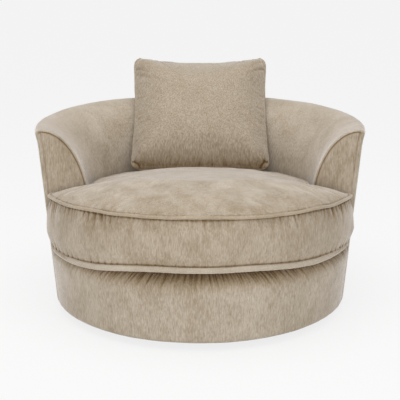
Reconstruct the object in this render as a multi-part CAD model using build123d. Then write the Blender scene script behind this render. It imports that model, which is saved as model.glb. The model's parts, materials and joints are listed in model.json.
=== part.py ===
from build123d import *
import math
import os

# Round swivel armchair: a tub back on a drum that turns on a ball bearing ring, with a loose
# boxed seat cushion and a loose piped scatter cushion.
# Millimetres. Origin on the floor, on the swivel axis. +Z is up and the sitter faces -Y.

# Tub and drum, outside
RIM_RADIUS = 575.0
RIM_HEIGHT = 648.0
HEM_SET_IN = 52.0
HEM_HEIGHT = 24.0
HEM_PADDING_GAP = 16.0
FACING_Y = -146.0
TUB_DEPTH = 165.0
ROLL_RISE = 268.0
CREST_SET_IN = 15.0
DECK_HEIGHT = 266.0
FRONT_EDGE_RADIUS = 55.0
FRONT_COVER_DEPTH = 105.0

# Upholstery layers
COVER = 2.0
LAYER_GAP = 0.3
WADDING = 7.7
BOARD = 3.7
BACK_FOAM = 43.0
FACING_PAD = 12.0
PLY = 18.0

# Frame
BASE_BOARD_HEIGHT = 48.0
RING_BELOW_DECK = 46.0
SEAT_RING_LEDGE = 30.0
HOOP_WIDTH = 13.0
UPRIGHT_COUNT = 10
UPRIGHT_WIDTH = 45.0
UPRIGHT_DEPTH = 25.0
UPRIGHT_SET_IN = 38.0
GUSSET_ANGLES = (20.0, 55.0, 90.0, 125.0, 160.0)
RAIL_FOAM_GAP = 16.7
DUST_COVER = 1.0
DUST_COVER_WIDTH = 255.0

# Seat suspension and deck
SPRING_XS = (-240.0, -120.0, 0.0, 120.0, 240.0)
SPRING_WIRE = 1.9
SPRING_LOOP = 11.0
SPRING_BAR = 26.0
TIE_WIRE = 1.5
TIE_YS = (-130.0, 130.0)
CLIP_SHEET = 1.2
CLIP_LENGTH = 18.0
FELT = 5.5
DECK_PAD = 12.0
DECK_BACK_CLEARANCE = 4.0

# Swivel
PLINTH_SET_IN = 193.0
GLIDE_HEIGHT = 6.0
GLIDE_RADIUS = 20.0
GLIDE_COUNT = 8
GLIDE_SET_IN = 30.0
PLATE = 2.5
LOWER_PLATE_SIDE = 300.0
LOWER_PLATE_HOLE = 130.0
UPPER_PLATE_SIDE = 260.0
UPPER_PLATE_HOLE = 112.0
PLATE_CORNER = 20.0
BALL_RADIUS = 4.75
BALL_COUNT = 30
BALL_CIRCLE = 115.0
RACE_RADIUS = 5.0
RACE_WIDTH = 18.0
RACE_GAP = 3.0
CAGE = 1.5
CAGE_CLEARANCE = 0.2
PIVOT_RADIUS = 6.0
PIVOT_CLEARANCE = 0.05
PIVOT_HEAD = 7.5
BUSH_WALL = 4.0
BUSH_FLANGE = 3.0
WASHER = 2.5
NUT_HEIGHT = 10.0
NUT_FLATS = 19.0
SCREW_CLEARANCE = 0.05
PLATE_BOLT_RADIUS = 4.0
PLATE_BOLT_HEAD = 5.3
PLATE_SCREW_RADIUS = 2.5
PLATE_SCREW_LENGTH = 15.0
UPRIGHT_SCREW_RADIUS = 2.3
UPRIGHT_SCREW_LENGTH = 57.0

# Seat cushion
SEAT_FRONT_SET_IN = 23.0
SEAT_BACK_SET_IN = 18.0
EAR_GAP = 12.0
EAR_FILLET = 32.0
NOTCH_FILLET = 14.0
SEAT_BULGE = 8.0
SEAT_SEAM_RISE = 22.0
SEAT_LOWER_ROLL = 22.0
SEAT_BOXING_WIDTH = 128.0
SEAT_CROWN = 66.0
SEAT_CROWN_FRONT_INSET = 90.0
SEAT_CROWN_BACK_INSET = 85.0
SEAT_CROWN_FORWARD = 205.0
SEAT_RAKE = 3.5
SEAT_CROWN_RAKE = 5.0
SEAM_VALLEY = 8.0
SEAT_PIPING = 6.0
SEAT_PIPING_PROUD = 1.0
CORE_GAP = 0.4

# Scatter cushion
SCATTER_WIDTH = 532.0
SCATTER_LENGTH = 496.0
SCATTER_THICKNESS = 186.0
SCATTER_CORNER = 26.0
SCATTER_DRAW_IN = 10.0
SCATTER_TOP_SAG = 22.0
SCATTER_LEAN = 38.8
SCATTER_BACK_GAP = 3.4
SCATTER_PIPING = 4.5
SCATTER_PIPING_GAP = 0.8

# Zips
ZIP_TAPE = 1.0
ZIP_TAPE_WIDTH = 24.0
ZIP_CHAIN = 1.5
ZIP_CHAIN_WIDTH = 6.0
ZIP_SLIDER = 2.5
ZIP_SLIDER_WIDTH = 11.0
ZIP_SLIDER_LENGTH = 14.0
ZIP_TAB = 1.0
ZIP_TAB_LENGTH = 24.0
SEAT_ZIP_HALF_ANGLE = 48.0
SCATTER_ZIP_LENGTH = 360.0

# Worked out from the sizes above
FAR = 2000.0
HEM_RADIUS = RIM_RADIUS - HEM_SET_IN
INSIDE_RADIUS = RIM_RADIUS - TUB_DEPTH
CREST_RADIUS = RIM_RADIUS - CREST_SET_IN
ROLL_START_HEIGHT = RIM_HEIGHT - ROLL_RISE
FRONT_COVER_REACH = RIM_RADIUS - FRONT_COVER_DEPTH
SEAT_RING_BORE = INSIDE_RADIUS - SEAT_RING_LEDGE
UPRIGHT_CIRCLE = HEM_RADIUS - UPRIGHT_SET_IN
PLINTH_RADIUS = HEM_RADIUS - PLINTH_SET_IN
GLIDE_CIRCLE = PLINTH_RADIUS - GLIDE_SET_IN
SEAT_FRONT_RADIUS = RIM_RADIUS - SEAT_FRONT_SET_IN
SEAT_BACK_RADIUS = INSIDE_RADIUS - SEAT_BACK_SET_IN
SEAT_RING_HEIGHT = DECK_HEIGHT - RING_BELOW_DECK
SEAT_LOWER_SEAM = DECK_HEIGHT + SEAT_SEAM_RISE
SEAT_UPPER_SEAM = SEAT_LOWER_SEAM + SEAT_BOXING_WIDTH
CONE_ANGLE = math.atan2(RIM_RADIUS - HEM_RADIUS, RIM_HEIGHT - HEM_HEIGHT)
WADDING_FACE = COVER + LAYER_GAP
BOARD_FACE = WADDING_FACE + WADDING + LAYER_GAP
FRAME_FACE = BOARD_FACE + BOARD + LAYER_GAP
FOAM_FACE = COVER + LAYER_GAP
GUSSET_FACE = FOAM_FACE + BACK_FOAM
TOP_RAIL_HEIGHT = RIM_HEIGHT - GUSSET_FACE - RAIL_FOAM_GAP - PLY
PAD_BACK_Y = FACING_Y + COVER + FACING_PAD
GUSSET_BACK_Y = PAD_BACK_Y + PLY
BASE_BOARD_TOP = BASE_BOARD_HEIGHT + PLY
SEAT_RING_TOP = SEAT_RING_HEIGHT + PLY
BACK_FOOT = SEAT_RING_TOP + LAYER_GAP
SPRING_HEIGHT = SEAT_RING_TOP + 2 * TIE_WIRE + LAYER_GAP + SPRING_WIRE
FELT_HEIGHT = SPRING_HEIGHT + SPRING_WIRE + CLIP_SHEET / 2 + 2 * LAYER_GAP
PLINTH_TOP = GLIDE_HEIGHT + PLY
BALL_HEIGHT = (PLINTH_TOP + BASE_BOARD_HEIGHT) / 2
SEAT_UNDERSIDE = DECK_HEIGHT + LAYER_GAP


def cone_radius(height, inset=0.0):
    """Radius of the outside cone at a height, moved in square to its surface."""
    share = (height - HEM_HEIGHT) / (RIM_HEIGHT - HEM_HEIGHT)
    return HEM_RADIUS + share * (RIM_RADIUS - HEM_RADIUS) - inset / math.cos(CONE_ANGLE)


def turned(outline):
    """Solid of revolution about Z from an outline drawn as radius and height."""
    return revolve(Plane.XZ * outline, Axis.Z)


def polygon(*points):
    return make_face(Polyline(*points, close=True))


def ring(inner, outer, bottom, top):
    """Flat ring about Z."""
    blank = Pos(0, 0, (bottom + top) / 2) * Cylinder(outer, top - bottom)
    return blank - Pos(0, 0, (bottom + top) / 2) * Cylinder(inner, top - bottom)


def disc(radius, bottom, top, x=0.0, y=0.0):
    return Pos(x, y, (bottom + top) / 2) * Cylinder(radius, top - bottom)


def block(x0, x1, y0, y1, z0, z1):
    centre = ((x0 + x1) / 2, (y0 + y1) / 2, (z0 + z1) / 2)
    return Pos(*centre) * Box(x1 - x0, y1 - y0, z1 - z0)


def behind(y):
    """The half space behind a plane across the chair."""
    return block(-FAR, FAR, y, y + FAR, -FAR, FAR)


def ahead(y):
    return block(-FAR, FAR, y - FAR, y, -FAR, FAR)


def slab(y0, y1):
    return block(-FAR, FAR, y0, y1, -FAR, FAR)


def left_side():
    return block(-FAR, 0, -FAR, FAR, -FAR, FAR)


def right_side():
    return block(0, FAR, -FAR, FAR, -FAR, FAR)


def around(count, circle, first=0.0):
    """Places evenly spaced on a circle about Z."""
    turns = [first + 360.0 * n / count for n in range(count)]
    return [Rot(0, 0, turn) * Pos(circle, 0, 0) for turn in turns]


def corners(half):
    return [(x, y) for x in (-half, half) for y in (-half, half)]


# Tub section, as radius and height


def roll_arc(inner, crest):
    """Quarter ellipse from the crest of the tub in to its upright inside face."""
    return EllipticalCenterArc(
        (CREST_RADIUS, ROLL_START_HEIGHT),
        CREST_RADIUS - inner,
        crest - ROLL_START_HEIGHT,
        start_angle=90,
        arc_size=90,
    )


def tub_section(inset, bottom):
    """The tub's section: upright inside face, elliptical roll, crest and outside cone."""
    crest = (RIM_RADIUS - CREST_RADIUS) * math.cos(CONE_ANGLE) / (1 + math.sin(CONE_ANGLE))
    top = RIM_HEIGHT - inset
    inner = INSIDE_RADIUS + inset
    edge = JernArc((CREST_RADIUS, top), (1, 0), crest - inset, -90 - math.degrees(CONE_ANGLE))
    foot = (cone_radius(bottom, inset), bottom)
    outline = [
        Line((inner, bottom), (inner, ROLL_START_HEIGHT)),
        roll_arc(inner, top),
        edge,
        Line(edge @ 1, foot),
        Line(foot, (inner, bottom)),
    ]
    return make_face(outline)


def inside_foam_section(inset, bottom):
    """Everything on the outer side of the back foam."""
    inner = INSIDE_RADIUS + inset
    crest = RIM_HEIGHT - inset
    outline = [
        Line((inner, bottom), (inner, ROLL_START_HEIGHT)),
        roll_arc(inner, crest),
        Line((CREST_RADIUS, crest), (FAR, crest)),
        Line((FAR, crest), (FAR, bottom)),
        Line((FAR, bottom), (inner, bottom)),
    ]
    return make_face(outline)


def frame_body(bottom, top):
    """Room for the timber, between the foam and the outside board."""
    inner_side = turned(inside_foam_section(GUSSET_FACE + LAYER_GAP, SEAT_RING_TOP))
    return inner_side & turned(cone_band(FRAME_FACE, FAR, bottom, top))


def cone_band(outer_inset, inner_inset, bottom, top):
    """Section of a layer that follows the outside cone."""
    return polygon(
        (max(0.0, cone_radius(bottom, inner_inset)), bottom),
        (cone_radius(bottom, outer_inset), bottom),
        (cone_radius(top, outer_inset), top),
        (max(0.0, cone_radius(top, inner_inset)), top),
    )


def front_section(inset, bottom):
    """Section of the drum's front: the cone, a round top edge and the deck."""
    rise = DECK_HEIGHT - FRONT_EDGE_RADIUS
    centre = cone_radius(rise) - FRONT_EDGE_RADIUS / math.cos(CONE_ANGLE)
    top = DECK_HEIGHT - inset
    edge = JernArc((centre, top), (1, 0), FRONT_EDGE_RADIUS - inset, -90 - math.degrees(CONE_ANGLE))
    foot = (cone_radius(bottom, inset), bottom)
    outline = [
        Line((FRONT_COVER_REACH, top), (centre, top)),
        edge,
        Line(edge @ 1, foot),
        Line(foot, (FRONT_COVER_REACH, bottom)),
        Line((FRONT_COVER_REACH, bottom), (FRONT_COVER_REACH, top)),
    ]
    return make_face(outline)


# Back and arms


def make_back_covers():
    """Outside cover from hem to rim, and inside cover from deck to rim, meeting at the rim seam."""
    seam = RIM_HEIGHT - (RIM_RADIUS - CREST_RADIUS)
    skin = tub_section(0, BACK_FOOT) - tub_section(COVER, BACK_FOOT)
    outer_side = cone_band(0, 2 * COVER, BACK_FOOT, seam)
    inside = turned(skin - outer_side) & behind(FACING_Y)
    outside = turned(cone_band(0, COVER, HEM_HEIGHT, seam)) & behind(FACING_Y)
    return {"inside_back_cover": inside, "outside_back_cover": outside}


def make_back_padding():
    """Foam inside and over the crest, and the bent board and wadding outside."""
    behind_pad = behind(PAD_BACK_Y + LAYER_GAP)
    foam = tub_section(FOAM_FACE, BACK_FOOT) - inside_foam_section(GUSSET_FACE, BACK_FOOT)
    foot = HEM_HEIGHT + HEM_PADDING_GAP
    top = RIM_HEIGHT - GUSSET_FACE - LAYER_GAP
    wadding = cone_band(WADDING_FACE, WADDING_FACE + WADDING, foot, top)
    board = cone_band(BOARD_FACE, BOARD_FACE + BOARD, foot, top)
    return {
        "back_foam": turned(foam) & behind_pad,
        "back_wadding": turned(wadding) & behind_pad,
        "back_board": turned(board) & behind_pad,
    }


def make_facings():
    """Flat front of each arm: a cover, a thin pad and the shaped plywood post behind them."""
    body = turned(tub_section(FOAM_FACE, BACK_FOOT))
    post = frame_body(SEAT_RING_TOP, TOP_RAIL_HEIGHT)
    cover = body & slab(FACING_Y, FACING_Y + COVER)
    pad = body & slab(FACING_Y + COVER, PAD_BACK_Y)
    post = post & slab(PAD_BACK_Y, GUSSET_BACK_Y)
    made = {}
    for side, half in (("left", left_side()), ("right", right_side())):
        made[f"facing_{side}"] = cover & half
        made[f"facing_pad_{side}"] = pad & half
        made[f"arm_post_{side}"] = post & half
    return made


def make_back_frame():
    """Radial plywood ribs standing on the seat ring, and the rail bent over their tops."""
    rib = frame_body(SEAT_RING_TOP, TOP_RAIL_HEIGHT) & block(0, FAR, -PLY / 2, PLY / 2, 0, FAR)
    ribs = [Rot(0, 0, angle) * rib for angle in GUSSET_ANGLES]
    rail = frame_body(TOP_RAIL_HEIGHT, TOP_RAIL_HEIGHT + PLY) & behind(PAD_BACK_Y + LAYER_GAP)
    return {"back_ribs": Compound(ribs), "top_rail": rail}


# Drum


def make_drum_frame():
    board_radius = cone_radius(BASE_BOARD_HEIGHT, FRAME_FACE)
    base_board = disc(board_radius, BASE_BOARD_HEIGHT, BASE_BOARD_TOP)
    base_board -= disc(PIVOT_RADIUS + BUSH_WALL + SCREW_CLEARANCE, BASE_BOARD_HEIGHT, BASE_BOARD_TOP)
    for x, y in corners(UPPER_PLATE_HOLE):
        hole = PLATE_BOLT_RADIUS + 2 * SCREW_CLEARANCE + PLATE
        base_board -= disc(hole, BASE_BOARD_HEIGHT, BASE_BOARD_TOP, x, y)
    uprights = []
    screws = []
    screw_top = BASE_BOARD_HEIGHT + UPRIGHT_SCREW_LENGTH
    head = 2 * UPRIGHT_SCREW_RADIUS
    for place in around(UPRIGHT_COUNT, UPRIGHT_CIRCLE, 180.0 / UPRIGHT_COUNT):
        height = SEAT_RING_HEIGHT - BASE_BOARD_TOP
        post = place * Pos(0, 0, BASE_BOARD_TOP + height / 2) * Box(UPRIGHT_DEPTH, UPRIGHT_WIDTH, height)
        bore = UPRIGHT_SCREW_RADIUS + SCREW_CLEARANCE
        pilot = place * disc(bore, BASE_BOARD_HEIGHT, screw_top + SCREW_CLEARANCE)
        recess = place * disc(head + SCREW_CLEARANCE, BASE_BOARD_HEIGHT, BASE_BOARD_HEIGHT + head)
        uprights.append(post - pilot)
        base_board = base_board - pilot - recess
        shank = disc(UPRIGHT_SCREW_RADIUS, BASE_BOARD_HEIGHT + head / 2, screw_top)
        screw = shank + disc(head, BASE_BOARD_HEIGHT + SCREW_CLEARANCE, BASE_BOARD_HEIGHT + head)
        screws.append(place * screw)
    hoop_outer = cone_radius(HEM_HEIGHT + COVER, FRAME_FACE)
    hoop = ring(hoop_outer - HOOP_WIDTH, hoop_outer, HEM_HEIGHT + COVER, BASE_BOARD_HEIGHT)
    seat_ring = ring(
        SEAT_RING_BORE, cone_radius(SEAT_RING_HEIGHT, FRAME_FACE), SEAT_RING_HEIGHT, SEAT_RING_TOP
    )
    dust_cover = ring(
        hoop_outer - HOOP_WIDTH - DUST_COVER_WIDTH,
        hoop_outer - HOOP_WIDTH - LAYER_GAP,
        BASE_BOARD_HEIGHT - DUST_COVER,
        BASE_BOARD_HEIGHT,
    )
    return {
        "base_board": base_board,
        "drum_uprights": Compound(uprights),
        "upright_screws": Compound(screws),
        "hem_hoop": hoop,
        "seat_ring": seat_ring,
        "dust_cover": dust_cover,
    }


def make_drum_front():
    """Bent board, wadding, edge roll and cover of the drum's front, below the seat."""
    wall_top = DECK_HEIGHT - FRONT_EDGE_RADIUS
    front = ahead(FACING_Y)
    wall = ahead(PAD_BACK_Y)
    foot = HEM_HEIGHT + HEM_PADDING_GAP
    board = turned(cone_band(BOARD_FACE, BOARD_FACE + BOARD, foot, wall_top))
    wadding = turned(cone_band(WADDING_FACE, WADDING_FACE + WADDING, foot, wall_top))
    above_ring = polygon((0, BACK_FOOT), (FAR, BACK_FOOT), (FAR, FAR), (0, FAR))
    roll_section = front_section(WADDING_FACE, HEM_HEIGHT) & above_ring
    cover_section = front_section(0, HEM_HEIGHT) - front_section(COVER, HEM_HEIGHT)
    return {
        "front_board": board & wall,
        "front_wadding": wadding & wall,
        "front_edge_roll": turned(roll_section) & front,
        "front_cover": turned(cover_section) & front,
    }


def make_deck():
    """Felt, foam and cloth of the platform that the seat cushion lies on."""
    back_radius = INSIDE_RADIUS - DECK_BACK_CLEARANCE
    front_radius = FRONT_COVER_REACH - LAYER_GAP
    heights = {
        "deck_felt": (FELT_HEIGHT, FELT_HEIGHT + FELT),
        "deck_pad": (FELT_HEIGHT + FELT, FELT_HEIGHT + FELT + DECK_PAD),
        "deck_cover": (DECK_HEIGHT - COVER, DECK_HEIGHT),
    }
    made = {}
    for name, (bottom, top) in heights.items():
        front = disc(front_radius, bottom, top) & ahead(FACING_Y - LAYER_GAP)
        made[name] = disc(back_radius, bottom, top) + front
    return made


# Seat suspension


def spring_path(x):
    """One zigzag spring, front to back: half circles joined by straight bars across the spring."""
    reach = math.sqrt(SEAT_RING_BORE**2 - x**2) + CLIP_LENGTH
    waves = int(2 * reach // (2 * SPRING_LOOP))
    start = -waves * SPRING_LOOP
    half = SPRING_BAR / 2
    edges = []
    side = 1
    for n in range(waves + 1):
        y = start + n * 2 * SPRING_LOOP
        edges.append(Line((x - side * half, y), (x + side * half, y)))
        if n < waves:
            edges.append(
                ThreePointArc(
                    (x + side * half, y),
                    (x + side * (half + SPRING_LOOP), y + SPRING_LOOP),
                    (x + side * half, y + 2 * SPRING_LOOP),
                )
            )
        side = -side
    return Pos(0, 0, SPRING_HEIGHT) * Wire(edges), start


def make_suspension():
    springs = []
    clips = []
    for x in SPRING_XS:
        path, start = spring_path(x)
        springs.append(sweep(Plane(path @ 0, z_dir=path % 0) * Circle(SPRING_WIRE), path))
        for end in (start, -start):
            clips.append(Pos(x, end, 0) * spring_clip(1 if end > 0 else -1))
    ties = []
    for y in TIE_YS:
        reach = math.sqrt(SEAT_RING_BORE**2 - y**2) + CLIP_LENGTH
        tie = Pos(0, y, SEAT_RING_TOP + TIE_WIRE) * Rot(0, 90, 0) * Cylinder(TIE_WIRE, 2 * reach)
        ties.append(tie)
    return {
        "seat_springs": Compound(springs),
        "spring_clips": Compound(clips),
        "spring_tie_wires": Compound(ties),
    }


def spring_clip(outward):
    """Folded strip that hooks the last bar of a spring to the seat ring, open towards the middle."""
    bar = SPRING_WIRE + LAYER_GAP
    bottom = SEAT_RING_TOP
    top = SPRING_HEIGHT + bar
    back = bar + CLIP_SHEET
    section = polygon(
        (-CLIP_LENGTH / 2, bottom),
        (back, bottom),
        (back, top + CLIP_SHEET / 2),
        (-bar, top + CLIP_SHEET / 2),
        (-bar, top),
        (bar, top),
        (bar, bottom + CLIP_SHEET),
        (-CLIP_LENGTH / 2, bottom + CLIP_SHEET),
    )
    clip = extrude(Plane.YZ * section, SPRING_BAR / 2 - SPRING_WIRE, both=True)
    return clip if outward > 0 else Rot(0, 0, 180) * clip


# Swivel


def make_swivel_base():
    plinth = disc(PLINTH_RADIUS, GLIDE_HEIGHT, PLINTH_TOP)
    plinth -= disc(PIVOT_RADIUS + CAGE_CLEARANCE, GLIDE_HEIGHT, PLINTH_TOP)
    plinth -= disc(NUT_FLATS * 0.75, GLIDE_HEIGHT, GLIDE_HEIGHT + PIVOT_HEAD)
    screws = []
    for x, y in corners(LOWER_PLATE_HOLE):
        bottom = PLINTH_TOP + PLATE - PLATE_SCREW_LENGTH
        plinth -= disc(PLATE_SCREW_RADIUS + SCREW_CLEARANCE, bottom - SCREW_CLEARANCE, PLINTH_TOP, x, y)
        shank = disc(PLATE_SCREW_RADIUS, bottom, PLINTH_TOP + PLATE, x, y)
        seat = PLINTH_TOP + PLATE
        screws.append(shank + disc(2 * PLATE_SCREW_RADIUS, seat, seat + PLATE_SCREW_RADIUS, x, y))
    places = [Pos(0, 0, 0), *around(GLIDE_COUNT, GLIDE_CIRCLE)]
    glides = [place * disc(GLIDE_RADIUS, 0, GLIDE_HEIGHT) for place in places]
    return {
        "plinth_board": plinth,
        "floor_glides": Compound(glides),
        "lower_plate_screws": Compound(screws),
    }


def bearing_plate(side, hole, hole_radius, bottom, top, sheet_bottom):
    """Square plate with a raised round race whose groove carries the balls."""
    sheet = extrude(RectangleRounded(side, side, PLATE_CORNER), PLATE)
    plate = Pos(0, 0, sheet_bottom) * sheet
    plate += ring(BALL_CIRCLE - RACE_WIDTH / 2, BALL_CIRCLE + RACE_WIDTH / 2, bottom, top)
    plate -= turned(Pos(BALL_CIRCLE, BALL_HEIGHT) * Circle(RACE_RADIUS))
    plate -= disc(PIVOT_RADIUS + BUSH_WALL, bottom - PLATE, top + PLATE)
    for x, y in corners(hole):
        plate -= disc(hole_radius, bottom - PLATE, top + PLATE, x, y)
    return plate


def make_bearing():
    lower_top = BALL_HEIGHT - RACE_GAP / 2
    upper_bottom = BALL_HEIGHT + RACE_GAP / 2
    lower = bearing_plate(
        LOWER_PLATE_SIDE,
        LOWER_PLATE_HOLE,
        PLATE_SCREW_RADIUS + SCREW_CLEARANCE,
        PLINTH_TOP,
        lower_top,
        PLINTH_TOP,
    )
    upper = bearing_plate(
        UPPER_PLATE_SIDE,
        UPPER_PLATE_HOLE,
        PLATE_BOLT_RADIUS + SCREW_CLEARANCE,
        upper_bottom,
        BASE_BOARD_HEIGHT,
        BASE_BOARD_HEIGHT - PLATE,
    )
    ball = Sphere(BALL_RADIUS)
    balls = [place * Pos(0, 0, BALL_HEIGHT) * ball for place in around(BALL_COUNT, BALL_CIRCLE)]
    inner, outer = BALL_CIRCLE - RACE_WIDTH / 2 + 1, BALL_CIRCLE + RACE_WIDTH / 2 - 1
    cage = ring(inner, outer, BALL_HEIGHT - CAGE / 2, BALL_HEIGHT + CAGE / 2)
    for place in around(BALL_COUNT, BALL_CIRCLE):
        cage -= place * disc(BALL_RADIUS + CAGE_CLEARANCE, BALL_HEIGHT - CAGE, BALL_HEIGHT + CAGE)
    return {
        "lower_bearing_plate": lower,
        "upper_bearing_plate": upper,
        "bearing_balls": Compound(balls),
        "ball_cage": cage,
    }


def hexagon(flats, bottom, top):
    return Pos(0, 0, bottom) * extrude(RegularPolygon(flats / 2, 6, major_radius=False), top - bottom)


def make_pivot():
    """Bolt up the middle of the bearing, held by a nut above a flanged bush in the base board."""
    head_top = GLIDE_HEIGHT + PIVOT_HEAD
    flange_top = BASE_BOARD_TOP + BUSH_FLANGE
    washer_bottom = flange_top + LAYER_GAP
    nut_bottom = washer_bottom + WASHER
    bolt_top = nut_bottom + NUT_HEIGHT + PLATE
    bolt = hexagon(NUT_FLATS, GLIDE_HEIGHT, head_top) + disc(PIVOT_RADIUS, head_top, bolt_top)
    bore = PIVOT_RADIUS + PIVOT_CLEARANCE
    bush = ring(bore, PIVOT_RADIUS + BUSH_WALL, BASE_BOARD_HEIGHT, BASE_BOARD_TOP)
    bush += ring(bore, NUT_FLATS * 0.8, BASE_BOARD_TOP, flange_top)
    nut = hexagon(NUT_FLATS, nut_bottom, nut_bottom + NUT_HEIGHT)
    nut -= disc(bore, nut_bottom, nut_bottom + NUT_HEIGHT)
    return {
        "pivot_bolt": bolt,
        "pivot_bush": bush,
        "pivot_washer": ring(bore, NUT_FLATS * 0.8, washer_bottom, nut_bottom),
        "pivot_nut": nut,
    }


def make_plate_bolts():
    bolts = []
    nuts = []
    seat = BASE_BOARD_HEIGHT - PLATE
    flange_top = BASE_BOARD_TOP + PLATE / 2
    barrel = PLATE_BOLT_RADIUS + SCREW_CLEARANCE + PLATE
    for x, y in corners(UPPER_PLATE_HOLE):
        head = Pos(x, y, 0) * hexagon(3.25 * PLATE_BOLT_RADIUS, seat - PLATE_BOLT_HEAD, seat)
        bolts.append(head + disc(PLATE_BOLT_RADIUS, seat, flange_top + PLATE, x, y))
        bore = PLATE_BOLT_RADIUS + SCREW_CLEARANCE
        nut = ring(bore, barrel, BASE_BOARD_HEIGHT + PLATE, BASE_BOARD_TOP)
        nut += ring(bore, 2 * barrel, BASE_BOARD_TOP, flange_top)
        nuts.append(Pos(x, y, 0) * nut)
    return {"upper_plate_bolts": Compound(bolts), "tee_nuts": Compound(nuts)}


# Seat cushion


def seat_outline(front_inset, back_inset, forward=0.0, size=1.0):
    """Plan of the seat: a wide round front with ears before the arms, and a narrower round back."""
    front = SEAT_FRONT_RADIUS - front_inset
    back = SEAT_BACK_RADIUS - back_inset
    middle = Vector(0, -forward)
    ear_y = FACING_Y - EAR_GAP - back_inset
    tip_y = ear_y - EAR_FILLET
    tip_x = math.sqrt((front - EAR_FILLET) ** 2 - tip_y**2)
    notch_y = ear_y + NOTCH_FILLET
    notch_x = math.sqrt((back + NOTCH_FILLET) ** 2 - (notch_y + forward) ** 2)
    tip = Vector(tip_x, tip_y)
    notch = Vector(notch_x, notch_y)
    spoke = (notch - middle).normalized()
    tip_start = tip * (front / tip.length)
    tip_mid = tip + (tip.normalized() + Vector(0, 1)).normalized() * EAR_FILLET
    notch_end = middle + spoke * back
    notch_mid = notch - (spoke + Vector(0, 1)).normalized() * NOTCH_FILLET
    back_turn = (math.atan2(spoke.Y, spoke.X) + math.pi / 2) / 2
    back_mid = middle + Vector(math.cos(back_turn), math.sin(back_turn)) * back
    ear_tip = Vector(tip_x, ear_y)
    ear_root = Vector(notch_x, ear_y)
    right = [
        [tip_start, tip_mid, ear_tip],
        [ear_tip, ear_root],
        [ear_root, notch_mid, notch_end],
        [notch_end, back_mid, middle + Vector(0, back)],
    ]
    left = [[Vector(-at.X, at.Y) for at in reversed(points)] for points in reversed(right)]
    front_arc = [Vector(-tip_start.X, tip_start.Y), Vector(0, -front), tip_start]
    fixed = Vector(0, tip_y)
    runs = [[fixed + (at - fixed) * size for at in points] for points in (front_arc, *right, *left)]
    return make_face(Wire([ThreePointArc(*run) if len(run) == 3 else Line(*run) for run in runs]))


def seat_plane(height, extra_rake=0.0):
    """Level round the lower seam, at the full rake round the upper one, and in between along the boxing."""
    level = SEAT_LOWER_SEAM + SEAM_VALLEY
    share = (height - level) / (SEAT_UPPER_SEAM - SEAM_VALLEY - level)
    rake = SEAT_RAKE * max(0.0, min(1.0, share)) + extra_rake
    return Pos(0, 0, height) * Rot(-rake, 0, 0)


# Shares of the crown's rise, front inset, back inset, move forward and extra rake, and the size of the plan
CROWN_STATIONS = (
    (0.12, 0.01, 0.01, 0.0, 0.0, 1.0),
    (0.29, 0.18, 0.05, 0.40, 0.2, 1.0),
    (0.48, 0.51, 0.14, 0.97, 0.5, 1.0),
    (0.67, 0.82, 0.42, 1.0, 0.75, 1.0),
    (0.83, 1.0, 1.0, 1.0, 1.0, 1.0),
    (0.94, 1.0, 1.0, 1.0, 1.0, 0.66),
    (1.0, 1.0, 1.0, 1.0, 1.0, 0.33),
)


def crown_section(station, inset=0.0):
    rise, front, back, move, tilt, size = station
    height = SEAT_UPPER_SEAM + rise * SEAT_CROWN - inset * min(1.0, 0.5 + tilt)
    front_inset = inset + front * SEAT_CROWN_FRONT_INSET
    back_inset = inset + back * SEAT_CROWN_BACK_INSET
    plan = seat_outline(front_inset, back_inset, move * SEAT_CROWN_FORWARD, size)
    return seat_plane(height, tilt * (SEAT_CROWN_RAKE - SEAT_RAKE)) * plan


def seat_form(inset):
    """Boxed cushion with seam valleys, bulging boxing and a crown that falls to the back, moved in."""
    low, high = SEAT_LOWER_SEAM, SEAT_UPPER_SEAM
    straight = 2.2 * ZIP_TAPE_WIDTH
    middle = (low + high) / 2
    walls = [
        (SEAT_UNDERSIDE + inset, SEAT_LOWER_ROLL),
        (SEAT_UNDERSIDE + 0.25 * SEAT_LOWER_ROLL + inset / 2, 0.3 * SEAT_LOWER_ROLL),
        (low - SEAM_VALLEY, 0.0),
        (low, SEAM_VALLEY),
        (low + SEAM_VALLEY, 0.0),
        (middle - straight / 2, -SEAT_BULGE),
        (middle + straight / 2, -SEAT_BULGE),
        (high - SEAM_VALLEY, 0.0),
        (high, SEAM_VALLEY),
    ]
    sections = [seat_plane(height) * seat_outline(inset + at, inset + at) for height, at in walls]
    sections += [crown_section(station, inset) for station in CROWN_STATIONS]
    return loft(sections, ruled=True)


def seat_height(y):
    """Height of the crown in the middle plane at a place behind its top, and its slope there."""
    behind = [crown_section(station).vertices().sort_by(Axis.Y)[-1] for station in CROWN_STATIONS]
    for lower, upper in zip(behind, behind[1:]):
        if upper.Y <= y <= lower.Y:
            break
    slope = (upper.Z - lower.Z) / (lower.Y - upper.Y)
    return upper.Z - (y - upper.Y) * slope, slope


def seat_piping(height):
    path = (seat_plane(height) * seat_outline(-SEAT_PIPING_PROUD, -SEAT_PIPING_PROUD)).wire()
    tube = sweep(Plane(path @ 0, z_dir=path % 0) * Circle(SEAT_PIPING), path)
    whole = math.pi * SEAT_PIPING**2 * path.length
    print(f"seat piping volume over section times length: {tube.volume / whole:.4f}")
    return tube


def make_seat_cushion():
    cover = seat_form(0.0) - seat_form(COVER)
    upper = seat_plane(SEAT_UPPER_SEAM) * Pos(0, 0, FAR / 2) * Box(2 * FAR, 2 * FAR, FAR)
    lower = seat_plane(SEAT_LOWER_SEAM) * Pos(0, 0, -FAR / 2) * Box(2 * FAR, 2 * FAR, FAR)
    return {
        "seat_top_panel": cover & upper,
        "seat_boxing": cover - upper - lower,
        "seat_bottom_panel": cover & lower,
        "seat_foam_core": seat_form(COVER + CORE_GAP),
        "seat_top_piping": seat_piping(SEAT_UPPER_SEAM),
        "seat_bottom_piping": seat_piping(SEAT_LOWER_SEAM),
    }


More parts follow.
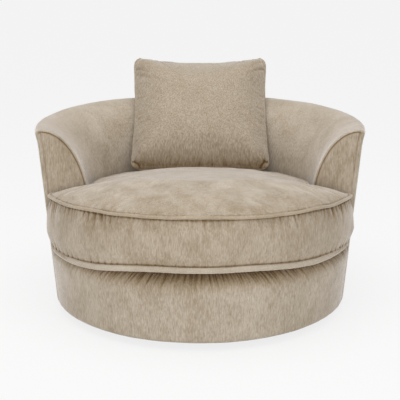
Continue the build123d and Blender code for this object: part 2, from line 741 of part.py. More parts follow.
def make_seat_zip():
    """Zip across the back of the boxing, and its slider parked at the closed end."""
    middle = (SEAT_LOWER_SEAM + SEAT_UPPER_SEAM) / 2
    face = SEAT_BACK_RADIUS + SEAT_BULGE + LAYER_GAP
    chain_face = face + ZIP_TAPE + ZIP_CHAIN
    slider_face = chain_face + LAYER_GAP

    def arc_strip(inner, depth, width, first, sweep_angle, height=middle):
        strip = Pos(inner + depth / 2, height) * Rectangle(depth, width)
        return Rot(0, 0, first) * revolve(Plane.XZ * strip, Axis.Z, sweep_angle)

    first = 90 - SEAT_ZIP_HALF_ANGLE
    tape = arc_strip(face, ZIP_TAPE, ZIP_TAPE_WIDTH, first, 2 * SEAT_ZIP_HALF_ANGLE)
    tape += arc_strip(face, ZIP_TAPE + ZIP_CHAIN, ZIP_CHAIN_WIDTH, first, 2 * SEAT_ZIP_HALF_ANGLE)
    turn = math.degrees(ZIP_SLIDER_LENGTH / slider_face)
    slider = arc_strip(slider_face, ZIP_SLIDER, ZIP_SLIDER_WIDTH, first + turn, turn)
    tab_middle = middle - ZIP_TAB_LENGTH / 2
    slider += arc_strip(
        slider_face + ZIP_SLIDER, ZIP_TAB, ZIP_TAB_LENGTH, first + 1.25 * turn, turn / 2, tab_middle
    )
    return {"seat_zip": tape, "seat_zip_slider": slider}


# Scatter cushion


def scatter_foot():
    """Where the lower seam rests on the seat when the back panel leans on the roll of the tub."""
    lean = math.radians(SCATTER_LEAN)
    roll = math.hypot((CREST_RADIUS - INSIDE_RADIUS) * math.cos(lean), ROLL_RISE * math.sin(lean))
    roll += ROLL_START_HEIGHT * math.sin(lean) - CREST_RADIUS * math.cos(lean)
    y = 0.0
    for _ in range(30):
        seat, slope = seat_height(y)
        z = seat + (SCATTER_PIPING + 2 * LAYER_GAP) * math.hypot(1, slope)
        y = (z * math.sin(lean) - roll - SCATTER_THICKNESS / 2 - SCATTER_BACK_GAP) / math.cos(lean)
    return Vector(0, y, z)


def scatter_frame():
    """Local X across, Y up the cushion from its lower seam, Z out of its front face."""
    lean = math.radians(SCATTER_LEAN)
    return Plane(scatter_foot(), x_dir=(1, 0, 0), z_dir=(0, -math.cos(lean), math.sin(lean)))


def scatter_outline(inset):
    """Square with round corners; the top sags, two sides are drawn in, and the lower one is straight."""
    top_turn = 2 * math.atan2(SCATTER_TOP_SAG, SCATTER_WIDTH / 2)
    side_turn = 2 * math.atan2(SCATTER_DRAW_IN, SCATTER_LENGTH / 2)
    half = SCATTER_WIDTH / 2 - inset * (1 + math.sin(side_turn))
    low, high = inset, SCATTER_LENGTH - inset * (1 + math.sin(top_turn))
    mid = (low + high) / 2
    share = half / (SCATTER_WIDTH / 2)
    draw = SCATTER_DRAW_IN * share
    sag = SCATTER_TOP_SAG * share
    outline = make_face(
        [
            Line((-half, low), (half, low)),
            ThreePointArc((half, low), (half - draw, mid), (half, high)),
            ThreePointArc((half, high), (0, high - sag), (-half, high)),
            ThreePointArc((-half, high), (-half + draw, mid), (-half, low)),
        ]
    )
    return fillet(outline.vertices(), min(SCATTER_CORNER * math.sqrt(share), 0.3 * (high - low)))


# Shares of the half side, in from the piping, and of the half thickness, from seam to crown
SCATTER_STATIONS = ((0.033, 0.11), (0.082, 0.32), (0.184, 0.56), (0.369, 0.80), (0.615, 0.95), (0.80, 1.0))


def scatter_stations():
    """Inset from the outline and rise above the seam of each station."""
    edge = SCATTER_PIPING + SCATTER_PIPING_GAP
    reach = min(SCATTER_WIDTH, SCATTER_LENGTH) / 2
    return [(edge + at * reach, rise * SCATTER_THICKNESS / 2) for at, rise in SCATTER_STATIONS]


def scatter_form(inset):
    front = [(SCATTER_PIPING + SCATTER_PIPING_GAP, 1.0), *scatter_stations()]
    front = [(at + inset, max(1.0, rise - inset)) for at, rise in front]
    back = [(at, -rise) for at, rise in reversed(front)]
    frame = scatter_frame()
    sections = [frame * Pos(0, 0, rise) * scatter_outline(at) for at, rise in back + front]
    return loft(sections, ruled=True)


def make_scatter_cushion():
    cover = scatter_form(0.0) - scatter_form(COVER)
    frame = scatter_frame()
    front = frame * Pos(0, 0, FAR / 2) * Box(2 * FAR, 2 * FAR, FAR)
    path = (frame * scatter_outline(0.0)).wire()
    piping = sweep(Plane(path @ 0, z_dir=path % 0) * Circle(SCATTER_PIPING), path)
    whole = math.pi * SCATTER_PIPING**2 * path.length
    print(f"scatter piping volume over section times length: {piping.volume / whole:.4f}")
    return {
        "scatter_front_panel": cover & front,
        "scatter_back_panel": cover - front,
        "scatter_filling": scatter_form(COVER + CORE_GAP),
        "scatter_piping": piping,
    }


def make_scatter_zip():
    """Zip across the back panel above its lower seam, and its slider at the closed end."""
    low, high = [Vector(0, at, -rise) for at, rise in scatter_stations()[2:4]]
    along = (high - low).normalized()
    out = Vector(1, 0, 0).cross(along) * -1
    place = scatter_frame() * Plane((low + high) / 2, x_dir=(1, 0, 0), z_dir=out).location
    bottom = LAYER_GAP
    chain = bottom + ZIP_TAPE
    slider_bottom = chain + ZIP_CHAIN + LAYER_GAP
    tape = Pos(0, 0, bottom + ZIP_TAPE / 2) * Box(SCATTER_ZIP_LENGTH, ZIP_TAPE_WIDTH, ZIP_TAPE)
    tape += Pos(0, 0, chain + ZIP_CHAIN / 2) * Box(SCATTER_ZIP_LENGTH, ZIP_CHAIN_WIDTH, ZIP_CHAIN)
    start = -SCATTER_ZIP_LENGTH / 2 + ZIP_SLIDER_LENGTH
    body_place = Pos(start, 0, slider_bottom + ZIP_SLIDER / 2)
    body = body_place * Box(ZIP_SLIDER_LENGTH, ZIP_SLIDER_WIDTH, ZIP_SLIDER)
    tab_place = Pos(start + ZIP_TAB_LENGTH / 2, 0, slider_bottom + ZIP_SLIDER + ZIP_TAB / 2)
    tab = tab_place * Box(ZIP_TAB_LENGTH, ZIP_SLIDER_WIDTH / 2, ZIP_TAB)
    return {"scatter_zip": place * tape, "scatter_zip_slider": place * (body + tab)}


def main():
    os.makedirs("parts", exist_ok=True)
    pieces = {}
    for make in (
        make_swivel_base,
        make_bearing,
        make_pivot,
        make_plate_bolts,
        make_drum_frame,
        make_drum_front,
        make_suspension,
        make_deck,
        make_back_frame,
        make_back_padding,
        make_back_covers,
        make_facings,
        make_seat_cushion,
        make_seat_zip,
        make_scatter_cushion,
        make_scatter_zip,
    ):
        pieces.update(make())
    for name, shape in pieces.items():
        export_step(shape, f"parts/{name}.step")
    print(len(pieces), "nodes")


main()
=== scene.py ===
import json
import math

import bpy
import numpy as np
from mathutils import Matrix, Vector, noise


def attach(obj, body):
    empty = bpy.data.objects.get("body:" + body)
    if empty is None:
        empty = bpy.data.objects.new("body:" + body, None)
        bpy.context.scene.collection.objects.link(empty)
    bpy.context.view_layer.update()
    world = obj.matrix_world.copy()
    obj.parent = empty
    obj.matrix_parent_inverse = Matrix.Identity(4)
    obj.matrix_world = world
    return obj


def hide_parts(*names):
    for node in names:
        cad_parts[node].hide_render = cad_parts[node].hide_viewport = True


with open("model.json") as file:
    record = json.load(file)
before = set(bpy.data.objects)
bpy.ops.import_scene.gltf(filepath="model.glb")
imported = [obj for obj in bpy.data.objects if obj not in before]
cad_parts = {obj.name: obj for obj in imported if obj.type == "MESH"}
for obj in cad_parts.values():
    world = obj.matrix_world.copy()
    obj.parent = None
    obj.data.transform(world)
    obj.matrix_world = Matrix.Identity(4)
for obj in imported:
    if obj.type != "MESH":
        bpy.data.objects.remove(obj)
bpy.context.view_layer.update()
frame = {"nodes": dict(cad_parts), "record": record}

# Shape of the chair, metres, as in the solids
RIM_R, RIM_Z = 0.575, 0.648
HEM_R, HEM_Z = 0.523, 0.024
FACING_Y = -0.146
INSIDE_R, ROLL_Z, CREST_R = 0.410, 0.380, 0.560
DECK_Z, EDGE_R = 0.266, 0.055
CONE = math.atan2(RIM_R - HEM_R, RIM_Z - HEM_Z)
CREST_EDGE = (RIM_R - CREST_R) * math.cos(CONE) / (1 + math.sin(CONE))
SEAT_FRONT, SEAT_BACK = 0.552, 0.392
EAR_GAP, EAR_FILLET, NOTCH_FILLET = 0.012, 0.032, 0.014
LOW_SEAM, HIGH_SEAM, VALLEY, BULGE, LOW_ROLL = 0.288, 0.416, 0.008, 0.008, 0.022
CROWN, CROWN_FRONT, CROWN_BACK, CROWN_FORWARD = 0.066, 0.090, 0.085, 0.205
RAKE, CROWN_RAKE = math.radians(3.5), math.radians(5.0)
SEAT_PIPE, SCATTER_PIPE = 0.006, 0.0045
SC_W, SC_L, SC_T, SC_LEAN = 0.532, 0.496, 0.186, math.radians(38.8)
SC_Y = 0.217
SC_DRAW, SC_SAG, SC_CORNER = 0.010, 0.022, 0.026

# How the cloth lies on that shape, metres
FOOT_Z = DECK_Z - 0.024
BACK_RISE, SEAT_SAG, EAR_BULGE = 0.011, 0.006, 0.006
SIDE_DROP_LEFT, SIDE_DROP_RIGHT = 0.036, 0.020
RIM_FLARE, FLARE_BELOW_RIM, FLARE_SPREAD = 0.0045, 0.013, 0.026
ARM_TURN, DRUM_TURN = 0.0055, 0.0015
HEM_ROUND, HEM_TUCK = 0.014, 0.010
INSIDE_STRIP, OUTSIDE_STRIP, SEAM_GAP = 0.0055, 0.0125, 0.0007
FRONT_COVER_END, FRONT_COVER_GAP = 0.474, 0.0006
CORD_STEP = 0.004

# Creases: ranges of width, length and depth, metres, but radians for widths on the scatter cushion
DRUM_PLEATS = ((0.0012, 0.0019), (0.040, 0.060), (0.0030, 0.0085))
BOXING_GATHERS = ((0.0026, 0.0048), (0.018, 0.048), (0.0016, 0.0080))
CROWN_GATHERS = ((0.004, 0.008), (0.014, 0.035), (0.0004, 0.0018))
CORNER_CREASES = ((0.010, 0.028), (0.04, 0.12), (0.0010, 0.0032))
EDGE_CREASES = ((0.008, 0.020), (0.02, 0.05), (0.0006, 0.0020))
FOOT_CREASES = ((0.008, 0.016), (0.015, 0.04), (0.0012, 0.0030))

# Pile: shares of patches, mottling and strands, how fine each is, and the strands' stretch
PILE_SHARES, PILE_SCALES, PILE_STREAK = (0.38, 0.12, 0.50), (11.0, 90.0, 320.0), 0.12
# Darkest and brightest values of the painted shade and light kept on the points
DARKEST, BRIGHTEST = 0.25, 1.12

# Room, lamps and camera
PALE = (0.93, 0.93, 0.93)
FLOOR_HALF, FLOOR_GLOW, FLOOR_SEEN = 30, 1.03, 0.84
WORLD_LIGHT = 0.62
CAMERA_PLACE, CAMERA_DOWN = (0.0, -3.51, 1.28), math.radians(14.63)
LENS, SENSOR = 90.45, 36.0

rng = np.random.default_rng(7)


# Small helpers


def mesh_object(name, verts, faces):
    mesh = bpy.data.meshes.new(name)
    mesh.from_pydata([tuple(map(float, v)) for v in verts], [], faces)
    mesh.validate()
    mesh.polygons.foreach_set("use_smooth", [True] * len(mesh.polygons))
    obj = bpy.data.objects.new(name, mesh)
    bpy.context.scene.collection.objects.link(obj)
    return obj


def grid_faces(rows, cols, closed=False):
    faces = []
    span = cols if closed else cols - 1
    for i in range(rows - 1):
        for j in range(span):
            k = (j + 1) % cols
            faces.append((i * cols + j, i * cols + k, (i + 1) * cols + k, (i + 1) * cols + j))
    return faces


def coords(obj):
    co = np.empty(len(obj.data.vertices) * 3)
    obj.data.vertices.foreach_get("co", co)
    return co.reshape(-1, 3)


def set_coords(obj, co):
    obj.data.vertices.foreach_set("co", np.ascontiguousarray(co, dtype=np.float32).ravel())
    obj.data.update()


def normals(obj):
    out = np.empty(len(obj.data.vertices) * 3)
    obj.data.vertex_normals.foreach_get("vector", out)
    return out.reshape(-1, 3)


def apply(obj, modifier):
    bpy.context.view_layer.objects.active = obj
    bpy.ops.object.modifier_apply(modifier=modifier.name)


def soft_noise(points, size, seed):
    """Smooth noise from -1 to 1 at points, features about size across."""
    off = Vector((seed * 3.1, seed * 7.7, seed * 1.3))
    return np.array([noise.noise(Vector(p) / size + off) for p in points])


def smoothstep(a, b, x):
    """Eases from 0 at a to 1 at b; a may be the larger."""
    t = np.clip((x - a) / (b - a), 0, 1)
    return t * t * (3 - 2 * t)


def bell(x, width, power=2):
    """1 at zero, dying out past width on either side."""
    return np.exp(-((x / width) ** power))


def crease(at, sizes, gain=1.0):
    """A crease at a place along a seam, its width, length and depth drawn from their ranges."""
    width, length, depth = (rng.uniform(*span) for span in sizes)
    return at, width, length, gain * depth


def creases(along, away, spots, slant=0.0):
    """Sum of short creases that start at a seam and die out away from it."""
    total = np.zeros(len(along))
    for at, width, length, depth in spots:
        near = np.abs(along - at) < 5 * width + abs(slant) * 0.1
        shift = along[near] - at - slant * away[near]
        spread = width * (1 + away[near] / length * 0.8)
        total[near] -= depth * bell(shift, spread) * bell(away[near], length)
    return total


def ripple(obj, amount, size, seed, gain=None):
    """Slow unevenness of stretched cloth over padding."""
    co, nor = coords(obj), normals(obj)
    move = amount * soft_noise(co, size, seed)
    if gain is not None:
        move = move * gain(co)
    set_coords(obj, co + nor * move[:, None])


def put(obj, body, material, nodes):
    """Gives a piece its material and the body it rides on, and hides the nodes it stands for."""
    obj.data.materials.clear()
    obj.data.materials.append(material)
    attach(obj, body)
    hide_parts(*nodes)


def painted_shade_and_tone(obj, values):
    """Painted shade and light in seams, creases and panels, and brushed tone, kept on the points for the
    cloth.
    """
    layer = obj.data.attributes.new("painted_shade_and_tone", "FLOAT", "POINT")
    values = np.clip(values, DARKEST, BRIGHTEST)
    layer.data.foreach_set("value", np.ascontiguousarray(values, dtype=np.float32))


def tube(name, path, radius, sides=12, tall=1.0):
    """Tube round a path of points that closes on itself; tall stretches it square to the path's plane."""
    count = len(path)
    ahead = np.roll(path, -1, 0) - np.roll(path, 1, 0)
    ahead /= np.linalg.norm(ahead, axis=1)[:, None]
    plane = np.linalg.svd(path - path.mean(0), full_matrices=False)[2][2]
    side = np.cross(ahead, plane)
    side /= np.linalg.norm(side, axis=1)[:, None]
    up = np.cross(side, ahead)
    turns = np.linspace(0, 2 * math.pi, sides, endpoint=False)
    ring = np.cos(turns)[None, :, None] * side[:, None] + tall * np.sin(turns)[None, :, None] * up[:, None]
    verts = (path[:, None] + radius * ring).reshape(-1, 3)
    faces = []
    for i in range(count):
        k = (i + 1) % count
        for j in range(sides):
            m = (j + 1) % sides
            faces.append((i * sides + j, k * sides + j, k * sides + m, i * sides + m))
    return mesh_object(name, verts, faces)


# Materials


def node_tree(name):
    material = bpy.data.materials.new(name)
    material.use_nodes = True
    tree = material.node_tree
    shader = tree.nodes["Principled BSDF"]
    return material, tree, shader


def add(tree, kind, **values):
    node = tree.nodes.new(kind)
    for key, value in values.items():
        if key in node.inputs:
            node.inputs[key].default_value = value
        else:
            setattr(node, key, value)
    return node


def mapped(tree, scale):
    where = add(tree, "ShaderNodeTexCoord")
    mapping = add(tree, "ShaderNodeMapping")
    mapping.inputs["Scale"].default_value = scale
    tree.links.new(where.outputs["Object"], mapping.inputs["Vector"])
    return mapping.outputs["Vector"]


def ramp(tree, source, low, high, start=0.3, end=0.7):
    node = add(tree, "ShaderNodeValToRGB")
    node.color_ramp.elements[0].position = start
    node.color_ramp.elements[1].position = end
    node.color_ramp.elements[0].color = (*low, 1)
    node.color_ramp.elements[1].color = (*high, 1)
    tree.links.new(source, node.inputs["Fac"])
    return node.outputs["Color"]


def blend_of(tree, parts):
    """Weighted sum of noise values."""
    total = None
    for value, weight in parts:
        node = add(tree, "ShaderNodeMath", operation="MULTIPLY_ADD")
        tree.links.new(value, node.inputs[0])
        node.inputs[1].default_value = weight
        node.inputs[2].default_value = 0.0
        if total is not None:
            tree.links.new(total, node.inputs[2])
        total = node.outputs[0]
    return total


def multiply(tree, a, b):
    node = add(tree, "ShaderNodeMix", data_type="RGBA", blend_type="MULTIPLY")
    node.inputs[0].default_value = 1.0
    tree.links.new(a, node.inputs[6])
    tree.links.new(b, node.inputs[7])
    return node.outputs[2]


def warm_shade(tree):
    """Painted shade on the points goes browner as it goes darker, as cloth in creases takes its light from
    neighbouring cloth.
    """
    painted_shading = add(tree, "ShaderNodeAttribute", attribute_name="painted_shade_and_tone")
    joined = add(tree, "ShaderNodeCombineColor")
    for channel, power in zip(("Red", "Green", "Blue"), (0.78, 1.0, 1.35)):
        node = add(tree, "ShaderNodeMath", operation="POWER")
        tree.links.new(painted_shading.outputs["Fac"], node.inputs[0])
        node.inputs[1].default_value = power
        tree.links.new(node.outputs[0], joined.inputs[channel])
    return joined.outputs["Color"]


def pile_noise(tree, scale, stretch, detail, roughness, distortion=0.0):
    node = add(tree, "ShaderNodeTexNoise", Scale=scale, Detail=detail, Roughness=roughness)
    node.inputs["Distortion"].default_value = distortion
    tree.links.new(mapped(tree, (1.0, 1.0, stretch)), node.inputs["Vector"])
    return node.outputs["Fac"]


def chenille(name, dark, light, shares=PILE_SHARES, scales=PILE_SCALES, streak=PILE_STREAK, shaded=True):
    """Short pile: brushed patches, mottling, streaks along the pile and a pale bloom at grazing angles."""
    material, tree, shader = node_tree(name)
    patch = pile_noise(tree, scales[0], 0.8, 4.0, 0.62, 0.5)
    mottle = pile_noise(tree, scales[1], 0.55, 3.0, 0.65)
    strand = pile_noise(tree, scales[2], streak, 2.0, 0.6)
    fuzz = pile_noise(tree, 330.0, streak * 2, 2.0, 0.7)
    mixed = blend_of(tree, zip((patch, mottle, strand), shares))
    colour = ramp(tree, mixed, dark, light, 0.365, 0.635)
    colour = multiply(tree, colour, ramp(tree, fuzz, (0.87, 0.87, 0.86), (1.13, 1.13, 1.13)))
    # When shaded, the cloth's colour is multiplied by the painted shade and light kept on the points.
    if shaded:
        colour = multiply(tree, colour, warm_shade(tree))
    tree.links.new(colour, shader.inputs["Base Color"])
    shader.inputs["Roughness"].default_value = 0.95
    shader.inputs["Specular IOR Level"].default_value = 0.08
    shader.inputs["Sheen Weight"].default_value = 1.0
    shader.inputs["Sheen Roughness"].default_value = 0.34
    shader.inputs["Sheen Tint"].default_value = (1.0, 0.95, 0.93, 1)
    fine = add(tree, "ShaderNodeBump", Strength=0.5, Distance=0.0012)
    tree.links.new(fuzz, fine.inputs["Height"])
    coarse = add(tree, "ShaderNodeBump", Strength=0.4, Distance=0.0016)
    tree.links.new(strand, coarse.inputs["Height"])
    tree.links.new(fine.outputs["Normal"], coarse.inputs["Normal"])
    tree.links.new(coarse.outputs["Normal"], shader.inputs["Normal"])
    return material


def grained(name, dark, light, scale, stretch, roughness, bump=0.2, metallic=0.0):
    """Wood, felt, foam or brushed metal from stretched noise."""
    material, tree, shader = node_tree(name)
    grain = add(tree, "ShaderNodeTexNoise", Scale=scale, Detail=5.0, Roughness=0.6)
    tree.links.new(mapped(tree, stretch), grain.inputs["Vector"])
    tree.links.new(ramp(tree, grain.outputs["Fac"], dark, light, 0.35, 0.65), shader.inputs["Base Color"])
    shader.inputs["Roughness"].default_value = roughness
    shader.inputs["Metallic"].default_value = metallic
    relief = add(tree, "ShaderNodeBump", Strength=bump, Distance=0.001)
    tree.links.new(grain.outputs["Fac"], relief.inputs["Height"])
    tree.links.new(relief.outputs["Normal"], shader.inputs["Normal"])
    return material


FABRIC = chenille("chenille", (0.322, 0.258, 0.177), (0.528, 0.454, 0.370))
SCATTER_FABRIC = chenille(
    "chenille_scatter",
    (0.298, 0.239, 0.163),
    (0.488, 0.420, 0.341),
    shares=(0.14, 0.20, 0.66),
    scales=(13.0, 150.0, 290.0),
    streak=0.15,
)
# Painted light: a lighter copy of the cloth for the seat's lower band, which faces up into the light.
PAINTED_LIGHT_BAND = chenille("chenille_band", (0.42, 0.350, 0.265), (0.56, 0.487, 0.400), streak=0.8, shaded=False)
PIPING = chenille("chenille_piping", (0.36, 0.285, 0.195), (0.50, 0.415, 0.315), streak=0.8, shaded=False)
# Slot, dark and light colour, fineness and stretch of the grain, roughness, bump and metal
PLAIN_LOOKS = (
    ("deck_cloth", (0.30, 0.24, 0.17), (0.37, 0.30, 0.22), 700.0, (1, 1, 1), 0.95, 0.4),
    ("timber_board", (0.36, 0.22, 0.11), (0.55, 0.37, 0.21), 45.0, (0.15, 1, 1), 0.6),
    ("fibreboard", (0.20, 0.12, 0.06), (0.28, 0.18, 0.10), 260.0, (1, 1, 1), 0.75),
    ("zinc_steel", (0.42, 0.42, 0.40), (0.58, 0.58, 0.56), 120.0, (1, 0.1, 1), 0.38, 0.05, 1.0),
    ("spring_steel", (0.10, 0.10, 0.11), (0.17, 0.17, 0.18), 200.0, (1, 1, 1), 0.42, 0.05, 1.0),
    ("nylon", (0.012, 0.012, 0.012), (0.022, 0.022, 0.022), 300.0, (1, 1, 1), 0.5, 0.1),
    ("dust_cloth", (0.004, 0.004, 0.004), (0.012, 0.012, 0.012), 900.0, (1, 1, 1), 0.95, 0.4),
    ("felt", (0.07, 0.07, 0.07), (0.16, 0.15, 0.14), 240.0, (1, 1, 1), 1.0, 0.6),
    ("foam", (0.62, 0.55, 0.34), (0.76, 0.70, 0.48), 500.0, (1, 1, 1), 0.95, 0.5),
    ("wadding", (0.74, 0.73, 0.70), (0.86, 0.85, 0.83), 60.0, (1, 1, 1), 1.0, 0.6),
    ("zip", (0.27, 0.21, 0.15), (0.33, 0.26, 0.19), 800.0, (1, 1, 0.2), 0.85, 0.5),
    ("zip_metal", (0.22, 0.18, 0.12), (0.30, 0.25, 0.18), 300.0, (1, 1, 1), 0.4, 0.1, 0.8),
)
LOOKS = {look[0]: grained(*look) for look in PLAIN_LOOKS}
LOOKS["chenille"] = FABRIC
LOOKS["piping"] = PIPING
for part in frame["record"]["subparts"]:
    node = frame["nodes"][part["node"]]
    node.data.materials.clear()
    node.data.materials.append(LOOKS[part["material_slot"]])


# Tub: inside and outside covers and the flat arm fronts


def cone_r(z):
    return HEM_R + (z - HEM_Z) / (RIM_Z - HEM_Z) * (RIM_R - HEM_R)


def hem_turn():
    """Radius and height of the hem's rounding, from the wall down and in."""
    points = []
    for a in np.linspace(0, math.pi / 2, 9)[1:]:
        z = HEM_Z + HEM_ROUND - HEM_ROUND * math.sin(a)
        points.append((cone_r(z) - HEM_TUCK * (1 - math.cos(a)), z))
    return points


def inside_profile():
    """Radius and height from the deck up the inside, over the roll and crest to the rim seam."""
    points = [(INSIDE_R, z) for z in np.linspace(FOOT_Z, ROLL_Z, 24, endpoint=False)]
    for a in np.linspace(math.pi, math.pi / 2, 64, endpoint=False):
        roll = CREST_R + (CREST_R - INSIDE_R) * math.cos(a)
        points.append((roll, ROLL_Z + (RIM_Z - ROLL_Z) * math.sin(a)))
    for a in np.linspace(math.pi / 2, -CONE, 9):
        crest = CREST_R + CREST_EDGE * math.cos(a)
        points.append((crest, RIM_Z - CREST_EDGE + CREST_EDGE * math.sin(a)))
    return np.array(points)


def outside_profile(top):
    """Radius and height from a lip in the rim seam down the cone to the rounded hem."""
    lip = [(cone_r(top) - 0.004, top + 0.0012), (cone_r(top) - 0.0012, top + 0.0006)]
    wall = [(cone_r(z), z) for z in np.linspace(top, HEM_Z + HEM_ROUND, 90)]
    return np.array(lip + wall + hem_turn()), len(lip)


def inward(profile):
    """Unit normals of a profile that point into the upholstery."""
    step = np.gradient(profile, axis=0)
    step /= np.linalg.norm(step, axis=1)[:, None]
    return np.stack([step[:, 1], -step[:, 0]], 1)


def sheet_end(edge, strip):
    """Distance back from the arm front, and inset, of a sheet's end: tuck in the seam, strip and turn."""
    tuck = [(0.0065, strip + 0.0022), (0.0030, strip + 0.0018), (0.0008, strip + 0.0008)]
    flat = [(0.0, inset) for inset in np.linspace(strip, edge, 4)[:-1]]
    turn = [(edge * (1 - math.sin(a)), edge * (1 - math.cos(a))) for a in np.linspace(math.pi / 2, 0, 7)]
    return tuck + flat + turn


def tub_sheet(name, profile, strip, lead=0):
    """Sweeps a profile from arm front to arm front, where both ends turn over the arm's edge.

    The first lead rows take the normal of the row after them. Also gives each point's depth in the seam.
    """
    columns = 300
    into = inward(profile)
    into[:lead] = into[lead]
    verts, depth = [], []
    for (r, z), (nr, nz) in zip(profile, into):
        edge = DRUM_TURN + (ARM_TURN - DRUM_TURN) * float(smoothstep(DECK_Z - 0.01, DECK_Z + 0.02, z))
        ends = sheet_end(edge, strip)
        sweep = math.pi - 2 * math.asin(FACING_Y / r)
        middle = [(d, 0.0) for d in np.linspace(edge, r * sweep - edge, columns)[1:-1]]
        for d, inset in ends + middle + [(r * sweep - d, inset) for d, inset in reversed(ends)]:
            rr, zz = r + nr * inset, z + nz * inset
            first = math.asin(FACING_Y / rr)
            a = first + d / r * (math.pi - 2 * first) / sweep
            verts.append((rr * math.cos(a), rr * math.sin(a), zz))
            depth.append(max(0.0, inset - strip))
    obj = mesh_object(name, verts, grid_faces(len(profile), len(verts) // len(profile)))
    return obj, np.array(depth)


def off_the_facing(co):
    return smoothstep(FACING_Y + 0.004, FACING_Y + 0.05, co[:, 1])


def lift_back(obj):
    """The rim rises a little from the arms to the middle of the back."""
    co = coords(obj)
    share = smoothstep(-0.05, 0.50, co[:, 1]) * np.clip((co[:, 2] - ROLL_Z) / (RIM_Z - ROLL_Z), 0, 1)
    co[:, 2] += BACK_RISE * share
    set_coords(obj, co)


def flare(obj):
    """The rim's outer corner stands a little proud of the wall below."""
    co = coords(obj)
    reach = np.hypot(co[:, 0], co[:, 1])
    out = RIM_FLARE * bell(co[:, 2] - RIM_Z + FLARE_BELOW_RIM, FLARE_SPREAD) * smoothstep(0.545, 0.572, reach)
    co[:, :2] *= (1 + out / reach)[:, None]
    set_coords(obj, co)


def inside_back():
    obj, tucked = tub_sheet("inside_back", inside_profile(), INSIDE_STRIP)
    flare(obj)
    lift_back(obj)
    ripple(obj, 0.0018, 0.17, 1, off_the_facing)
    ripple(obj, 0.0006, 0.04, 2, off_the_facing)
    # Painted light lifts the whole inside cover; painted shade darkens it where it tucks into the seam.
    painted_shade_and_tone(obj, 1.07 - 0.69 * smoothstep(0.0, 0.0016, tucked))
    return obj


def outside_back():
    profile, lip = outside_profile(RIM_Z - CREST_EDGE - CREST_EDGE * math.sin(CONE))
    obj, tucked = tub_sheet("outside_back", profile, OUTSIDE_STRIP, lead=lip + 1)
    flare(obj)
    lift_back(obj)
    ripple(obj, 0.0012, 0.22, 3, off_the_facing)
    # Painted shade where the outside cover tucks into the seam.
    painted_shade_and_tone(obj, 1 - 0.20 * smoothstep(0.0, 0.0016, tucked))
    return obj


def facing_row(z, crest, near, far):
    """Inner edge, outer edge and outer seam across an arm front, and the inner edge's slope."""
    inner = INSIDE_R + near
    rim_centre = RIM_Z - CREST_EDGE
    if z <= ROLL_Z:
        slope = 1.0
        r_in = inner
    else:
        rise = (z - ROLL_Z) / (crest - ROLL_Z)
        slope = math.sqrt(max(0.0, 1 - rise**2))
        r_in = CREST_R - (CREST_R - inner) * slope
    if z <= rim_centre:
        r_end = cone_r(z) - near / math.cos(CONE)
    else:
        r_end = CREST_R + math.sqrt(max(0.0, (CREST_EDGE - near) ** 2 - (z - rim_centre) ** 2))
    r_seam = cone_r(z) - far / math.cos(CONE)
    radii = r_in, max(r_end, r_in + 0.0003), r_seam
    return [math.sqrt(r**2 - FACING_Y**2) for r in radii], slope


def facing_panel(side, word):
    """Flat arm front, slightly padded, with painted shade: a dark seam at the inside cover, a faint one at
    the outside.
    """
    near, far = INSIDE_STRIP + SEAM_GAP, OUTSIDE_STRIP + SEAM_GAP
    sunk, padding, soft = 0.0014, 0.0044, 0.0042
    crest = RIM_Z - near
    rows, cols = 120, 60
    verts, shading_and_tone = [], []
    for t in np.linspace(0, 1, rows):
        z = FOOT_Z + (crest - FOOT_Z) * math.sin(t * math.pi / 2) ** 0.9
        (x_in, x_end, x_seam), slope = facing_row(z, crest, near, far)
        for u in np.linspace(0, 1, cols):
            x = x_in + (x_end - x_in) * (0.5 - 0.5 * math.cos(u * math.pi))
            sewn = max(0.0, min((x - x_in) * max(0.14, slope), (crest - z) * 1.6))
            edge = max(0.0, min(sewn, x_seam - x))
            verts.append((side * x, FACING_Y + sunk - padding * (1 - math.exp(-edge / soft)), z))
            # Painted shade: the whole arm front darker and more olive, as its pile catches less light, and
            # dark seam lines where shade falls.
            shading_and_tone.append(0.88 - 0.60 * bell(sewn, 0.0034) - 0.14 * bell(max(0.0, x_seam - x), 0.0030))
    obj = mesh_object(f"arm_front_{word}", verts, grid_faces(rows, cols))
    if side < 0:
        obj.data.flip_normals()
    flare(obj)
    ripple(obj, 0.0006, 0.06, 4 + side)
    # Painted light lifts the whole arm front a little.
    painted_shade_and_tone(obj, 1.05 * np.array(shading_and_tone))
    return obj


put(inside_back(), "chair", FABRIC, ["inside_back_cover"])
put(outside_back(), "chair", FABRIC, ["outside_back_cover"])
for side, word in ((-1, "left"), (1, "right")):
    put(facing_panel(side, word), "chair", FABRIC, [f"facing_{word}"])


# Drum front


def drum_profile():
    """Radius and height from the hem up the wall, over the shoulder and in along the deck.

    Also gives the rows where the shoulder starts and ends.
    """
    rise = DECK_Z - EDGE_R
    centre = cone_r(rise) - EDGE_R / math.cos(CONE)
    points = hem_turn()[::-1]
    points += [(cone_r(z), z) for z in np.linspace(HEM_Z + HEM_ROUND, rise - EDGE_R * math.sin(CONE), 80)]
    shoulder = len(points) - 1
    for a in np.linspace(-CONE, math.pi / 2, 34)[1:]:
        points.append((centre + EDGE_R * math.cos(a), rise + EDGE_R * math.sin(a)))
    top = len(points) - 1
    points += [(r, DECK_Z) for r in np.linspace(centre, FRONT_COVER_END, 8)[1:]]
    return np.array(points), shoulder, top


